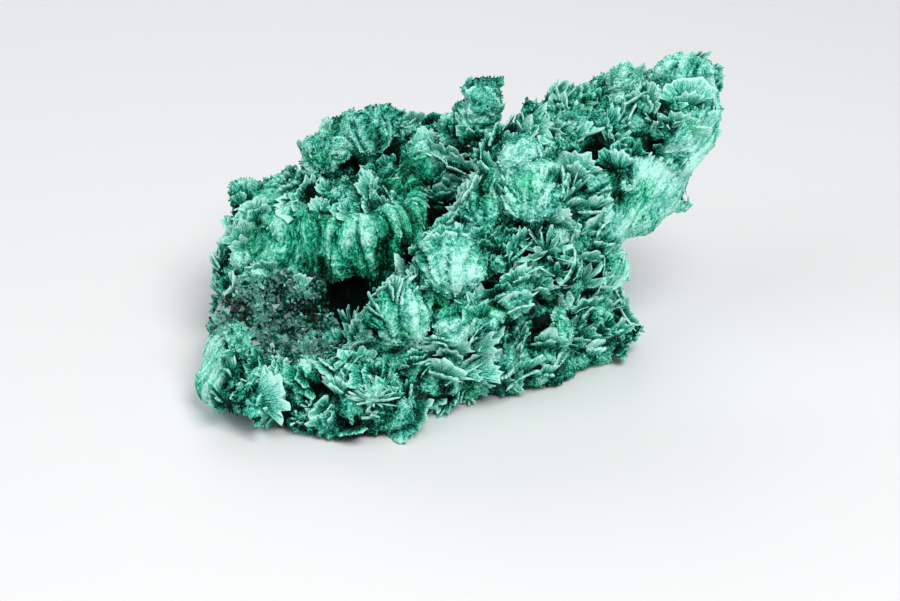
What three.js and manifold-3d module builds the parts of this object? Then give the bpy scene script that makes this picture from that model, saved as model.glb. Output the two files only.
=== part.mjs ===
// A hand specimen of velvet malachite: one broken lump of silky green sprays, 76 mm across.
// A leaning front ridge climbs from a low toe on the left to a horn that overhangs on the right.
// Behind it stands a block with a fluted face, and between the two lies a deep slot-like hollow.
// Millimetres, +Z up, +Y away from the side that the ridge faces.

import * as THREE from "three";
import { MarchingCubes } from "three/addons/objects/MarchingCubes.js";
import { ImprovedNoise } from "three/addons/math/ImprovedNoise.js";
import { MeshSurfaceSampler } from "three/addons/math/MeshSurfaceSampler.js";
import { mergeVertices } from "three/addons/utils/BufferGeometryUtils.js";
import Module from "manifold-3d";

// Driving dimensions.
const CELL = 3.4; // grid step of the main body's surface
const REACH = 45; // half the side of the cube that the body is worked out in
const BODY_CENTRE = new THREE.Vector3(0, -3, 21);
const WELD = 2.2; // how far neighbouring lumps flow into each other
const LOBE_PITCH = 7.5; // spacing of the rounded lobes on the body
const LOBE_DEPTH = 1.5;
const GRAIN_PITCH = 3.6; // spacing of the smaller knobs on the lobes
const GRAIN_DEPTH = 0.7;
const SKIN = 0.4; // how far the body stays inside the lumps, to leave room for what grows on it

const SEED = 8; // settles every chance size, place and lean

// The lumps that the body grew from: centre, half-sizes, turn about Z in degrees, and squareness,
// where 2 is an ellipsoid and larger numbers are boxier.
const LUMPS = [
  // The low front, from the left end to the toe.
  { at: [-33.2, -14.5, 5], half: [4.6, 5.5, 7], turn: 0, square: 2 },
  { at: [-27.5, -19, 3], half: [8, 7, 6.5], turn: 0, square: 2.4 },
  { at: [-16, -21, 2], half: [9.5, 7.5, 8], turn: 0, square: 2.4 },
  { at: [-31, -8.5, 8], half: [4.5, 5.5, 8], turn: 0, square: 2.2 },
  // The floor of the hollow.
  { at: [-16, -6, 1], half: [18, 13, 6], turn: 0, square: 3 },
  // The front ridge, from low to high.
  { at: [-9.5, -17, 8], half: [6, 5.5, 12.5], turn: 25, square: 2.4 },
  { at: [-1, -13, 11], half: [8.5, 8, 14], turn: 25, square: 2.4 },
  { at: [1.5, -9.5, 18], half: [5.5, 5, 12], turn: 25, square: 2.4 },
  { at: [7.5, -8, 17], half: [9, 8, 15], turn: 25, square: 2.4 },
  { at: [9, -3, 28.5], half: [7.5, 7.5, 9.5], turn: 25, square: 2.2 },
  { at: [7.5, -7, 3], half: [10.5, 9, 7.5], turn: 25, square: 3 },
  { at: [15, -2, 11], half: [8.5, 8, 14], turn: 20, square: 2.4 },
  { at: [15.5, -1.2, 4.5], half: [8.5, 8, 8], turn: 15, square: 3 },
  { at: [18.5, -1, 27], half: [9, 7.5, 10], turn: 15, square: 2.3 },
  { at: [17, 9, 27.8], half: [11, 6.5, 9.3], turn: 5, square: 2.6 },
  { at: [25, 8.5, 33], half: [6, 5.5, 7], turn: 0, square: 2.2 },
  // The overhanging horn.
  { at: [26.5, 3.5, 28], half: [7, 6, 9.5], turn: 0, square: 2.3 },
  { at: [31.8, 4.5, 34.5], half: [6.4, 6, 8.4], turn: 0, square: 2.3 },
  // The fluted block behind the hollow.
  { at: [-19, 4, 12.5], half: [13.5, 9.5, 12.5], turn: 0, square: 3 },
  { at: [-30.5, 3.5, 9.5], half: [6, 8, 12], turn: 0, square: 2.3 },
  { at: [-27, 12, 13], half: [7, 7, 10.5], turn: 0, square: 2.3 },
  { at: [-15.5, 18, 17], half: [8.5, 7.5, 12.8], turn: 0, square: 2.3 },
  { at: [-5, 15, 18.5], half: [7.5, 7, 11.5], turn: 0, square: 2.3 },
  { at: [2.4, 11.5, 26], half: [5.2, 5.5, 10.5], turn: 0, square: 2.2 },
  { at: [3, 12, 9], half: [12, 9, 12], turn: 0, square: 2.5 },
  { at: [13, 8, 12], half: [8, 8, 15], turn: 0, square: 2.3 },
];

// Hollows cut into the lumps, given in the same way.
const HOLLOWS = [
  // The slot between the ridge and the fluted face, and the pit at its right end.
  { at: [-21, -11.5, 15.5], half: [9, 5.3, 8], turn: 0, square: 2.4 },
  { at: [-11, -7.5, 17], half: [6.5, 3, 10], turn: 30, square: 2.4 },
  { at: [-3.8, 1, 24], half: [5.2, 7, 15], turn: -10, square: 2.6 },
  // The dark pit high on the ridge, and the arch under the left end.
  { at: [17, -9, 31], half: [4, 3, 3], turn: 20, square: 2 },
  { at: [-30, -20, -1], half: [3.5, 6, 3.5], turn: 0, square: 2 },
];

// Rounded tufts of fine fibres, from the toe up the ridge and round the back: centre and radius.
const TUFTS = [
  { at: [-8.6, -19.4, 16.4], radius: 4.1 },
  { at: [-1.5, -16, 22.6], radius: 4.7 },
  { at: [-2, -19.8, 14.6], radius: 3.2 },
  { at: [-14.5, -20, 9.6], radius: 2.7 },
  { at: [-12.6, -24.2, 7.2], radius: 3.4 },
  { at: [-27, -22.6, 6.8], radius: 3.5 },
  { at: [-31.8, -12.4, 12], radius: 2.6 },
  { at: [-35.2, -16.8, 4.4], radius: 3 },
  { at: [-22, -25.6, 2.4], radius: 2.6 },
  { at: [-9.4, -24.6, 3], radius: 3.4 },
  { at: [3, -12.8, 27.6], radius: 3.2 },
  { at: [9.6, -9.8, 29.6], radius: 5 },
  { at: [9.8, -8, 34], radius: 3.8 },
  { at: [6.8, -15.4, 16.2], radius: 3.7 },
  { at: [13.4, -11.8, 18.4], radius: 3.6 },
  { at: [16.2, -8, 24.6], radius: 2.8 },
  { at: [22.6, -5.6, 29.4], radius: 2.9 },
  { at: [30, -0.4, 36], radius: 3.8 },
  { at: [32.2, 3.2, 40], radius: 4 },
  { at: [23.8, 8.4, 38.4], radius: 2.6 },
  { at: [-12.8, 15.8, 27.6], radius: 3.4 },
  { at: [-20.4, 14.6, 25], radius: 3.2 },
  { at: [3, 9.6, 34], radius: 2.9 },
  { at: [-26, 16.6, 14], radius: 4 },
  { at: [-9, 22.6, 15], radius: 4.2 },
  { at: [5, 20, 13], radius: 4.4 },
  { at: [18, 13, 25], radius: 4 },
  { at: [17.6, 13.6, 10], radius: 3.8 },
];
const SMALL_TUFT = 3.2; // a tuft no larger than this has fewer faces
const TUFT_ROUGHNESS = 0.2; // share of the radius that its corners stand in or out

// The finger-like columns that hang round the rim of the fluted block, over the slot and the pit.
const RIM_CENTRE = new THREE.Vector3(-17.5, 5, 20);
const RIM_HALF_WIDTH = 12.5;
const RIM_HALF_DEPTH = 9.2;
const COLUMN_COUNT = 11;
const COLUMN_RADIUS = 1.7;
const COLUMN_LENGTH = 7;
const COLUMN_FIRST = 195; // degrees round the rim, from +X towards +Y
const COLUMN_LAST = 385;
const COLUMN_FLARE = 20; // degrees that a column's foot leans outwards

// Dark grains with flat faces, crusting the floor of the slot.
const GRAINS_CENTRE = new THREE.Vector3(-25, -10, 12);
const GRAINS_SPREAD = 7;
const GRAIN_COUNT = 12;
const GRAIN_RADIUS = 1.5;

// Open sprays of blades, like cockle shells, that cover the rest.
const SPRAY_SPACING = 10;
const FRONT_SPACING = 7; // they stand closer on the faces that look to the front
const SPRAY_RADIUS = 4.5;
const SPRAY_THICKNESS = 3.4;
const SPRAY_SPREAD = 120; // degrees from the first tip to the last
const SPRAY_TIPS = 4;
const SPRAY_NOTCH = 0.8; // how far out the notches lie, as a share of the radius
const SPRAY_SINK = 0.5; // how deep the root is buried, as a share of the radius
const GROWTH_ROOT = new THREE.Vector3(0, 2, -6); // the sprays lean away from this point
const SHELTER = 1.2; // a spray this near to a hollow is left out
const SPRAY_LOWEST = 3; // no spray is rooted lower than this

const noise = new ImprovedNoise();
const random = THREE.MathUtils.seededRandom;

// A number between -1 and 1.
function swing() {
  return 2 * random() - 1;
}

function someDirection() {
  return new THREE.Vector3(swing(), swing(), swing()).normalize();
}

// Positive inside the lump, nought on its skin, in millimetres near the skin.
function insideLump(lump, x, y, z) {
  const turn = THREE.MathUtils.degToRad(lump.turn);
  const dx = x - lump.at[0];
  const dy = y - lump.at[1];
  const along = Math.abs(dx * Math.cos(turn) + dy * Math.sin(turn)) / lump.half[0];
  const across = Math.abs(dy * Math.cos(turn) - dx * Math.sin(turn)) / lump.half[1];
  const up = Math.abs(z - lump.at[2]) / lump.half[2];
  const n = lump.square;
  const share = (along ** n + across ** n + up ** n) ** (1 / n);
  return (1 - share) * Math.min(...lump.half);
}

// The larger of two depths, rounded off where they are within a weld's width of each other.
function flowTogether(a, b) {
  const near = Math.max(WELD - Math.abs(a - b), 0) / WELD;
  return Math.max(a, b) + (near * near * WELD) / 4;
}

// Rounded knobs with creases between them.
function knobs(x, y, z, pitch) {
  return 2 * Math.abs(noise.noise(x / pitch, y / pitch, z / pitch)) - 0.5;
}

function insideBody(x, y, z) {
  let depth = -REACH;
  for (const lump of LUMPS) {
    depth = flowTogether(depth, insideLump(lump, x, y, z));
  }
  depth += LOBE_DEPTH * knobs(x + 31.7, y + 11.3, z + 7.9, LOBE_PITCH);
  depth += GRAIN_DEPTH * knobs(x + 5.2, y + 41.6, z + 19.4, GRAIN_PITCH);
  depth -= SKIN;
  for (const hollow of HOLLOWS) {
    depth = -flowTogether(-depth, insideLump(hollow, x, y, z));
  }
  return depth;
}

// The way out of the body at a point, taken over a lump's width so that small knobs don't count.
function wayOut(point) {
  const reach = 2;
  const { x, y, z } = point;
  const slope = (dx, dy, dz) => insideBody(x - dx, y - dy, z - dz) - insideBody(x + dx, y + dy, z + dz);
  return new THREE.Vector3(slope(reach, 0, 0), slope(0, reach, 0), slope(0, 0, reach)).normalize();
}

// The body's surface, from the depth at every point of a grid.
function bodyGeometry() {
  const steps = Math.round((2 * REACH) / CELL);
  const cubes = new MarchingCubes(steps, undefined, false, false, 20000);
  cubes.isolation = 0;
  const place = (step) => (step / cubes.halfsize - 1) * REACH;
  for (let k = 0; k < steps; k++) {
    for (let j = 0; j < steps; j++) {
      for (let i = 0; i < steps; i++) {
        const x = place(i) + BODY_CENTRE.x;
        const y = place(j) + BODY_CENTRE.y;
        const z = place(k) + BODY_CENTRE.z;
        cubes.field[i + j * steps + k * steps * steps] = insideBody(x, y, z);
      }
    }
  }
  cubes.update();
  const positions = cubes.geometry.attributes.position.array.slice(0, 3 * cubes.count);
  const geometry = new THREE.BufferGeometry();
  geometry.setAttribute("position", new THREE.BufferAttribute(positions, 3));
  geometry.scale(REACH, REACH, REACH);
  geometry.translate(BODY_CENTRE.x, BODY_CENTRE.y, BODY_CENTRE.z);
  return geometry;
}

const wasm = await Module();
wasm.setup();

// A closed geometry as a solid that can be joined and cut.
function solidOf(geometry) {
  const bare = geometry.clone();
  bare.deleteAttribute("normal");
  bare.deleteAttribute("uv");
  const merged = mergeVertices(bare, 1e-3);
  return new wasm.Manifold(
    new wasm.Mesh({
      numProp: 3,
      vertProperties: merged.attributes.position.array,
      triVerts: new Uint32Array(merged.index.array),
    }),
  );
}

function geometryOf(solid) {
  const mesh = solid.getMesh();
  const geometry = new THREE.BufferGeometry();
  geometry.setAttribute("position", new THREE.BufferAttribute(mesh.vertProperties, 3));
  geometry.setIndex(new THREE.BufferAttribute(mesh.triVerts, 1));
  return geometry;
}

// A rounded tuft with a knobbly skin.
function tuftGeometry(radius) {
  const bare = new THREE.IcosahedronGeometry(radius, radius > SMALL_TUFT ? 1 : 0);
  bare.deleteAttribute("normal");
  bare.deleteAttribute("uv");
  const ball = mergeVertices(bare, 1e-3);
  const places = ball.attributes.position;
  for (let i = 0; i < places.count; i++) {
    const corner = new THREE.Vector3().fromBufferAttribute(places, i);
    corner.multiplyScalar(1 + TUFT_ROUGHNESS * swing());
    places.setXYZ(i, corner.x, corner.y, corner.z);
  }
  return ball;
}

// A fan of blades seen from the front: a root, a jagged rim, and a ridge on either face.
// It opens along +Z, its blades spread along X, and it is thickest across Y.
function sprayGeometry(radius) {
  const outline = [new THREE.Vector3(0, 0, -SPRAY_SINK * radius)];
  const steps = 2 * (SPRAY_TIPS - 1);
  for (let i = 0; i <= steps; i++) {
    const angle = THREE.MathUtils.degToRad(SPRAY_SPREAD * (i / steps - 0.5) + 4 * swing());
    const isTip = i % 2 === 0;
    const length = radius * (isTip ? 1 + 0.12 * swing() : SPRAY_NOTCH);
    const bend = isTip ? 0.15 * radius * swing() : 0;
    outline.push(new THREE.Vector3(length * Math.sin(angle), bend, length * Math.cos(angle)));
  }
  const middle = 0.4 * radius;
  const faces = [
    new THREE.Vector3(0, SPRAY_THICKNESS / 2, middle),
    new THREE.Vector3(0, -SPRAY_THICKNESS / 2, middle),
  ];
  const corners = [...outline, ...faces];
  const front = outline.length;
  const back = front + 1;
  const index = [];
  for (let i = 0; i < outline.length; i++) {
    const next = (i + 1) % outline.length;
    index.push(front, i, next);
    index.push(back, next, i);
  }
  const geometry = new THREE.BufferGeometry().setFromPoints(corners);
  geometry.setIndex(index);
  return geometry;
}

// Stands a spray on the body. It leans out of the skin and away from where the specimen grew,
// with its blades side by side, so that the sprays lie over each other like scales.
function placedSpray(point) {
  const out = wayOut(point);
  const growth = point.clone().sub(GROWTH_ROOT).normalize();
  const along = growth.clone().addScaledVector(out, -growth.dot(out)).normalize();
  const lean = along.clone().addScaledVector(out, 0.35).addScaledVector(someDirection(), 0.35).normalize();
  const side = new THREE.Vector3().crossVectors(out, along).addScaledVector(someDirection(), 0.4);
  side.addScaledVector(lean, -side.dot(lean)).normalize();
  const across = new THREE.Vector3().crossVectors(lean, side);
  const geometry = sprayGeometry(SPRAY_RADIUS * (1 + 0.25 * swing()));
  geometry.applyMatrix4(new THREE.Matrix4().makeBasis(side, across, lean));
  return geometry.translate(point.x, point.y, point.z);
}

function isSheltered(point) {
  return HOLLOWS.some((hollow) => insideLump(hollow, point.x, point.y, point.z) > -SHELTER);
}

// Seeded points all over the body's surface but in its hollows, none nearer to another than the spacing.
function sprayPoints(surface) {
  const sampler = new MeshSurfaceSampler(new THREE.Mesh(surface));
  sampler.setRandomGenerator(random).build();
  const points = [];
  for (let attempt = 0; attempt < 4000; attempt++) {
    const point = new THREE.Vector3();
    sampler.sample(point);
    const spacing = wayOut(point).y < -0.3 ? FRONT_SPACING : SPRAY_SPACING;
    const clear = points.every((other) => other.distanceTo(point) > spacing);
    if (clear && point.z > SPRAY_LOWEST && !isSheltered(point)) {
      points.push(point);
    }
  }
  return points;
}

function columnGeometry(share) {
  const angle = THREE.MathUtils.degToRad(THREE.MathUtils.lerp(COLUMN_FIRST, COLUMN_LAST, share));
  const length = COLUMN_LENGTH * (1 + 0.2 * swing());
  const column = new THREE.CapsuleGeometry(COLUMN_RADIUS, length, 1, 6, 1);
  column.rotateX(Math.PI / 2);
  column.rotateY(-THREE.MathUtils.degToRad(COLUMN_FLARE + 5 * swing()));
  column.rotateZ(angle);
  column.translate(RIM_HALF_WIDTH * Math.cos(angle), RIM_HALF_DEPTH * Math.sin(angle), 0.8 * swing());
  return column.translate(RIM_CENTRE.x, RIM_CENTRE.y, RIM_CENTRE.z);
}

// A grain that has dropped onto the floor of the slot.
function grainGeometry() {
  const radius = GRAIN_RADIUS * (1 + 0.3 * swing());
  const grain = new THREE.OctahedronGeometry(radius, 0);
  grain.rotateX(Math.PI * random());
  grain.rotateY(Math.PI * random());
  const aside = new THREE.Vector3(swing(), 0.7 * swing(), 0).multiplyScalar(GRAINS_SPREAD);
  const place = GRAINS_CENTRE.clone().add(aside);
  while (insideBody(place.x, place.y, place.z) < 0) {
    place.z -= 0.2;
  }
  return grain.translate(place.x, place.y, place.z);
}

function specimenSolid() {
  random(SEED);
  const surface = bodyGeometry();
  const growths = [];
  for (const tuft of TUFTS) {
    growths.push(tuftGeometry(tuft.radius).translate(...tuft.at));
  }
  for (let i = 0; i < COLUMN_COUNT; i++) {
    growths.push(columnGeometry(i / (COLUMN_COUNT - 1)));
  }
  for (let i = 0; i < GRAIN_COUNT; i++) {
    growths.push(grainGeometry());
  }
  for (const point of sprayPoints(surface)) {
    growths.push(placedSpray(point));
  }
  let solid = solidOf(surface);
  for (const growth of growths) {
    solid = solid.add(solidOf(growth));
  }
  // The broken base, flat where the specimen was parted from its rock.
  const ground = new THREE.BoxGeometry(4 * REACH, 4 * REACH, REACH).translate(0, 0, -REACH / 2);
  const pieces = solid.subtract(solidOf(ground)).decompose();
  return pieces.reduce((largest, piece) => (piece.volume() > largest.volume() ? piece : largest));
}

// The origin is under the middle of the specimen, on the ground.
function centred(geometry) {
  geometry.computeBoundingBox();
  const middle = geometry.boundingBox.getCenter(new THREE.Vector3());
  return geometry.translate(-middle.x, -middle.y, 0);
}

const specimen = new THREE.Mesh(
  centred(geometryOf(specimenSolid())),
  new THREE.MeshStandardMaterial({ color: 0x3f9a78, roughness: 0.85, metalness: 0 }),
);
specimen.name = "malachite_specimen";

const root = new THREE.Group();
root.add(specimen);

export default root;
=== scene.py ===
import math

import bpy
import numpy as np
from mathutils import Matrix, Vector
from mathutils.bvhtree import BVHTree


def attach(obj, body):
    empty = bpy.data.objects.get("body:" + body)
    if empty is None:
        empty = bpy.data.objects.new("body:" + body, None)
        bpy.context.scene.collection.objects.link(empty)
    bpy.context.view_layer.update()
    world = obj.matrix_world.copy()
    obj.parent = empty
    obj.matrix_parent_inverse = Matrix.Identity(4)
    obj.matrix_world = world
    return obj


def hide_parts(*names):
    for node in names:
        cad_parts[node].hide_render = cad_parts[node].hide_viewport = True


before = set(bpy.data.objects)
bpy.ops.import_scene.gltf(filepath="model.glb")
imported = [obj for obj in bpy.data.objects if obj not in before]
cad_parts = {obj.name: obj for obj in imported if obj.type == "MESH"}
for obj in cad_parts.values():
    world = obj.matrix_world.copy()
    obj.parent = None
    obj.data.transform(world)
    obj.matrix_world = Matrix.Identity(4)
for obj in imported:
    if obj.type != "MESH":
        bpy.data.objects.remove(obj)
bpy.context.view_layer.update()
bpy.ops.object.select_all(action="DESELECT")

# Lengths are in millimetres until a mesh is written, and a mesh is written in metres. As the camera sees the
# specimen, x runs to the right, y to the back and z up.
MM = 0.001
NODE = "malachite_specimen"
SEED = 4
rng = np.random.default_rng(SEED)

# The camera that took the photograph.
PICTURE_WIDTH = 900
PICTURE_MIDDLE = np.array([450.0, 300.5])
FOCAL_PIXELS = 2478.0
SENSOR_WIDTH = 36.0
CAMERA_PLACE = np.array([-1.44, -321.64, 171.23])
CAMERA_ELEVATION = math.radians(26.82)
CAMERA_ROLL = math.radians(-0.99)

# Where the specimen grew from, and the middle of the fluted block's rim.
GROWTH_ROOT = np.array([0.3, 6.0, -34.0])
RIM_CENTRE = np.array([-17.2, 6.5, 20.0])
RIM_HALF_WIDTH = 12.5
RIM_HALF_DEPTH = 9.2


def camera_axes():
    """Right, up and forward of the camera."""
    sine, cosine = math.sin(CAMERA_ELEVATION), math.cos(CAMERA_ELEVATION)
    forward = np.array([0.0, cosine, -sine])
    level = np.array([1.0, 0.0, 0.0])
    rise = np.array([0.0, sine, cosine])
    right = level * math.cos(CAMERA_ROLL) + rise * math.sin(CAMERA_ROLL)
    up = rise * math.cos(CAMERA_ROLL) - level * math.sin(CAMERA_ROLL)
    return right, up, forward


def add_camera():
    right, up, forward = camera_axes()
    data = bpy.data.cameras.new("photo_camera")
    data.sensor_width = SENSOR_WIDTH
    data.lens = FOCAL_PIXELS * SENSOR_WIDTH / PICTURE_WIDTH
    camera = bpy.data.objects.new("photo_camera", data)
    bpy.context.scene.collection.objects.link(camera)
    turn = Matrix([right, up, -forward]).transposed().to_4x4()
    camera.matrix_world = Matrix.Translation(Vector(CAMERA_PLACE * MM)) @ turn
    bpy.context.scene.camera = camera


# Vectors

def unit(vectors):
    length = np.linalg.norm(vectors, axis=-1, keepdims=True)
    return vectors / np.maximum(length, 1e-9)


def dot(a, b):
    return np.sum(a * b, axis=-1, keepdims=True)


def scatter(count):
    """Unit vectors in every direction."""
    return unit(rng.normal(size=(count, 3)))


def turned(vectors, axis, angle):
    """Vectors turned round unit axes by angles."""
    cosine, sine = np.cos(angle)[:, None], np.sin(angle)[:, None]
    return vectors * cosine + np.cross(axis, vectors) * sine + axis * dot(axis, vectors) * (1 - cosine)


# Noise. Each use has a seed of its own, so that no two patterns fall together.

# Large odd numbers that mix up the cells of the noise, and how far a seed moves them.
CELL_MIXERS = np.array([73856093, 19349663, 83492791])
VALUE_MIXER = 1274126177
SEED_STEP = 17.3
# How far apart in the noise two tufts, plates or laths are that should not look alike.
NOISE_APART = 9.7


def value_noise(places, pitch, seed):
    """Smooth noise from -1 to 1 with the given spacing."""
    cells = places / pitch + seed * SEED_STEP
    low = np.floor(cells).astype(np.int64)
    part = cells - low
    part = part * part * (3 - 2 * part)
    total = np.zeros(len(places))
    for corner in range(8):
        step = np.array([corner & 1, corner >> 1 & 1, corner >> 2 & 1])
        cell = (low + step) * CELL_MIXERS
        mixed = cell[:, 0] ^ cell[:, 1] ^ cell[:, 2]
        mixed = (mixed ^ (mixed >> 13)) * VALUE_MIXER & 0x7FFFFFFF
        value = ((mixed ^ (mixed >> 16)) & 0xFFFF) / 32767.5 - 1
        weight = np.prod(np.where(step == 1, part, 1 - part), axis=1)
        total += weight * value
    return total


def billow(places, pitch, seed):
    """Rounded lobes with narrow valleys between them, from 0 to 1."""
    return np.minimum(1.8 * np.abs(value_noise(places, pitch, seed)), 1.0)


def fine_billow(places, pitch, fine_pitch, seed, share=0.6):
    """Rounded lobes with smaller lobes on them, from 0 to 1. The smaller ones have the next seed."""
    return share * billow(places, pitch, seed) + (1 - share) * billow(places, fine_pitch, seed + 1)


# Meshes

# A mesh may reach any place at the sides and none under the base.
LOWEST_PLACE = np.array([-np.inf, -np.inf, 0.0])


def in_metres(places):
    """Places as a mesh takes them."""
    return (np.maximum(places, LOWEST_PLACE) * MM).astype(np.float32).ravel()


def write_values(mesh, values):
    """Named numbers or vectors for each point of a mesh."""
    for key, value in values.items():
        if value.ndim == 2:
            attribute = mesh.attributes.new(key, "FLOAT_VECTOR", "POINT")
            attribute.data.foreach_set("vector", value.astype(np.float32).ravel())
        else:
            attribute = mesh.attributes.new(key, "FLOAT", "POINT")
            attribute.data.foreach_set("value", value.astype(np.float32))


def new_object(name, places, faces, values):
    """A mesh object from places, triangles, and named numbers or vectors for each point."""
    mesh = bpy.data.meshes.new(name)
    mesh.vertices.add(len(places))
    mesh.vertices.foreach_set("co", in_metres(places))
    mesh.loops.add(faces.size)
    mesh.loops.foreach_set("vertex_index", faces.astype(np.int32).ravel())
    mesh.polygons.add(len(faces))
    mesh.polygons.foreach_set("loop_start", np.arange(0, faces.size, 3, dtype=np.int32))
    mesh.polygons.foreach_set("use_smooth", np.zeros(len(faces), bool))
    write_values(mesh, values)
    mesh.update()
    piece = bpy.data.objects.new(name, mesh)
    bpy.context.scene.collection.objects.link(piece)
    return piece


def move_points(piece, places):
    piece.data.vertices.foreach_set("co", in_metres(places))
    piece.data.update()


def mesh_arrays(mesh):
    """Places, normals and triangles of a mesh."""
    mesh.calc_loop_triangles()
    places = np.empty(3 * len(mesh.vertices), np.float32)
    mesh.vertices.foreach_get("co", places)
    normals = np.empty(3 * len(mesh.vertices), np.float32)
    mesh.vertices.foreach_get("normal", normals)
    triangles = np.empty(3 * len(mesh.loop_triangles), np.int32)
    mesh.loop_triangles.foreach_get("vertices", triangles)
    return places.reshape(-1, 3) / MM, normals.reshape(-1, 3), triangles.reshape(-1, 3)


def apply_modifier(piece, kind, **settings):
    modifier = piece.modifiers.new(kind.lower(), kind)
    for key, value in settings.items():
        setattr(modifier, key, value)
    bpy.ops.object.select_all(action="DESELECT")
    piece.select_set(True)
    bpy.context.view_layer.objects.active = piece
    bpy.ops.object.modifier_apply(modifier=modifier.name)


def dress(piece, material):
    """A finished piece takes its material and rides on the body."""
    piece.data.materials.clear()
    piece.data.materials.append(material)
    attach(piece, "root")


# Where each kind of growth is

RIGHT_FOOT_LEFT = 6
HORN_LEFT = 17
HORN_BOTTOM = 19
BACK_FRONT = 9
BACK_TOP = 34
LEFT_END_RIGHT = -24
LOW_RIM_TOP = 9
LOW_RIM_BACK = -14
LOW_RIM_RIGHT = 2
BLOCK_BOTTOM = 10.5
BLOCK_BACK = 13
# How far out the fluted block and the plateau on it go, as a share of the rim.
BLOCK_REACH = 1.25
PLATEAU_REACH = 0.66
# The slot, the crust in it and the bulge at the left are ellipsoids: the middle and the half widths.
SLOT = ((-25, -9, 9), (9.5, 8.5, 8))
SLOT_CRUST = ((-25, -9, 10), (10, 9, 8))
LEFT_BULGE = ((-36, -12, 4), (6, 9, 8))
UNDER_HORN_LEFT = 20
UNDER_HORN_BOTTOM = 12
HORN_UNDERSIDE = unit(np.array([0.75, -0.35, -0.55]))


def inside_ellipsoid(points, centre, radii):
    return np.sum(((points - np.array(centre)) / np.array(radii)) ** 2, axis=1) < 1


def round_the_rim(points):
    """How far out a point is on the fluted block: 1 is its rim."""
    aside = (points[:, 0] - RIM_CENTRE[0]) / RIM_HALF_WIDTH
    fore = (points[:, 1] - RIM_CENTRE[1]) / RIM_HALF_DEPTH
    return np.hypot(aside, fore)


def is_low_in_front(points):
    return (points[:, 2] < LOW_RIM_TOP) & (points[:, 1] < LOW_RIM_BACK)


def areas_of(points, out):
    """The name of the area that each point is in."""
    x, y, z = points.T
    area = np.full(len(points), "front_ridge", dtype=object)
    area[x > RIGHT_FOOT_LEFT] = "right_foot"
    area[(x > HORN_LEFT) & (z > HORN_BOTTOM)] = "horn"
    area[(y > BACK_FRONT) & (z < BACK_TOP)] = "back"
    area[x < LEFT_END_RIGHT] = "left_end"
    area[is_low_in_front(points) & (x < LOW_RIM_RIGHT)] = "low_rim"
    rim = round_the_rim(points)
    block = (rim < BLOCK_REACH) & (z > BLOCK_BOTTOM) & (y < BLOCK_BACK)
    area[block] = "fluted_block"
    area[block & (rim < PLATEAU_REACH) & (out[:, 2] > 0.5)] = "plateau"
    area[inside_ellipsoid(points, *SLOT)] = "slot"
    return area


def is_pelt(points, out):
    """Where the fibres lie flat along the skin: under the horn and on the bulge at the left."""
    under_horn = (points[:, 0] > UNDER_HORN_LEFT) & (points[:, 2] > UNDER_HORN_BOTTOM)
    under_horn &= out @ HORN_UNDERSIDE > 0.5
    return under_horn | inside_ellipsoid(points, *LEFT_BULGE)


# Velvet grows in patches and on the listed tufts: the noise over which a patch begins in front,
# behind and at the left, and low in front, and how far the velvet goes round the top of a tuft.
VELVET_PITCH = 7.5
PATCH_LEFT = -22
PATCH_OVER = 0.42
PATCH_OVER_BEHIND = 0.15
PATCH_OVER_LOW = 0.6
VELVET_RADIUS = 2.9
VELVET_RADIUS_LOW = 1.6
LOW_TUFT = 9


def is_velvet(points, tuft_tops):
    """Where short fibres stand close together and no fans grow."""
    behind = (points[:, 1] > BACK_FRONT) | (points[:, 0] < PATCH_LEFT)
    threshold = np.where(behind, PATCH_OVER_BEHIND, PATCH_OVER)
    threshold[is_low_in_front(points)] = PATCH_OVER_LOW
    patch = value_noise(points, VELVET_PITCH, 7) > threshold
    near = np.zeros(len(points), bool)
    for top in tuft_tops:
        radius = VELVET_RADIUS if top[2] > LOW_TUFT else VELVET_RADIUS_LOW
        near |= np.linalg.norm(points - top, axis=1) < radius
    return patch | near


# Which way the fibres run

FLUTE_PITCH = 1.0
FLUTE_DEPTH = 1.2
# How far a flute goes round the block for a radian, how far it sways, and how its pattern is drawn out.
FLUTE_ROUND = 11.0
FLUTE_SWAY = 0.8
FLUTE_STRETCH = 0.16
PELT_FLOW = unit(np.array([0.55, 0.1, 0.8]))
PELT_ASIDE = [0.3, 0.9, -0.2]
PELT_STRETCH = 0.12


def flute_places(points):
    """Where points are round the fluted block and down its flutes."""
    from_rim = points - RIM_CENTRE
    turn = np.arctan2(from_rim[:, 1] / RIM_HALF_DEPTH, from_rim[:, 0] / RIM_HALF_WIDTH)
    down = round_the_rim(points) * RIM_HALF_WIDTH - points[:, 2]
    sway = FLUTE_SWAY * value_noise(points, 4.0, 24)
    return np.stack([turn * FLUTE_ROUND + sway, 0 * turn, down * FLUTE_STRETCH], axis=1)


def flutes(points):
    """How high the flutes of the fluted block stand, from 0 in a groove to about 1."""
    return fine_billow(flute_places(points), FLUTE_PITCH, 0.4 * FLUTE_PITCH, 5, share=0.75)


def pelt_places(points):
    """Where points are across and along the fibres that lie flat."""
    across = unit(np.cross(PELT_FLOW, PELT_ASIDE))
    other = np.cross(PELT_FLOW, across)
    return np.stack([points @ across, points @ other, PELT_STRETCH * (points @ PELT_FLOW)], axis=1)


def along_the_skin(points, out):
    """The way that the growth runs over the skin, away from where the specimen grew from."""
    away = points - GROWTH_ROOT
    return unit(away - out * dot(away, out))


# The lump that everything grows on: a coarse smooth skin to place things by, and a fine lobed one to see.

COARSE_VOXEL = 0.8
COARSE_SMOOTHING = 18
FINE_VOXEL = 0.46
FINE_SMOOTHING = 50
# The skin is drawn in so that the lobes have room: this far, or this share of a thin place.
INSET = 0.95
THIN_SHARE = 0.22
INSET_SMOOTHING = 4
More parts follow.
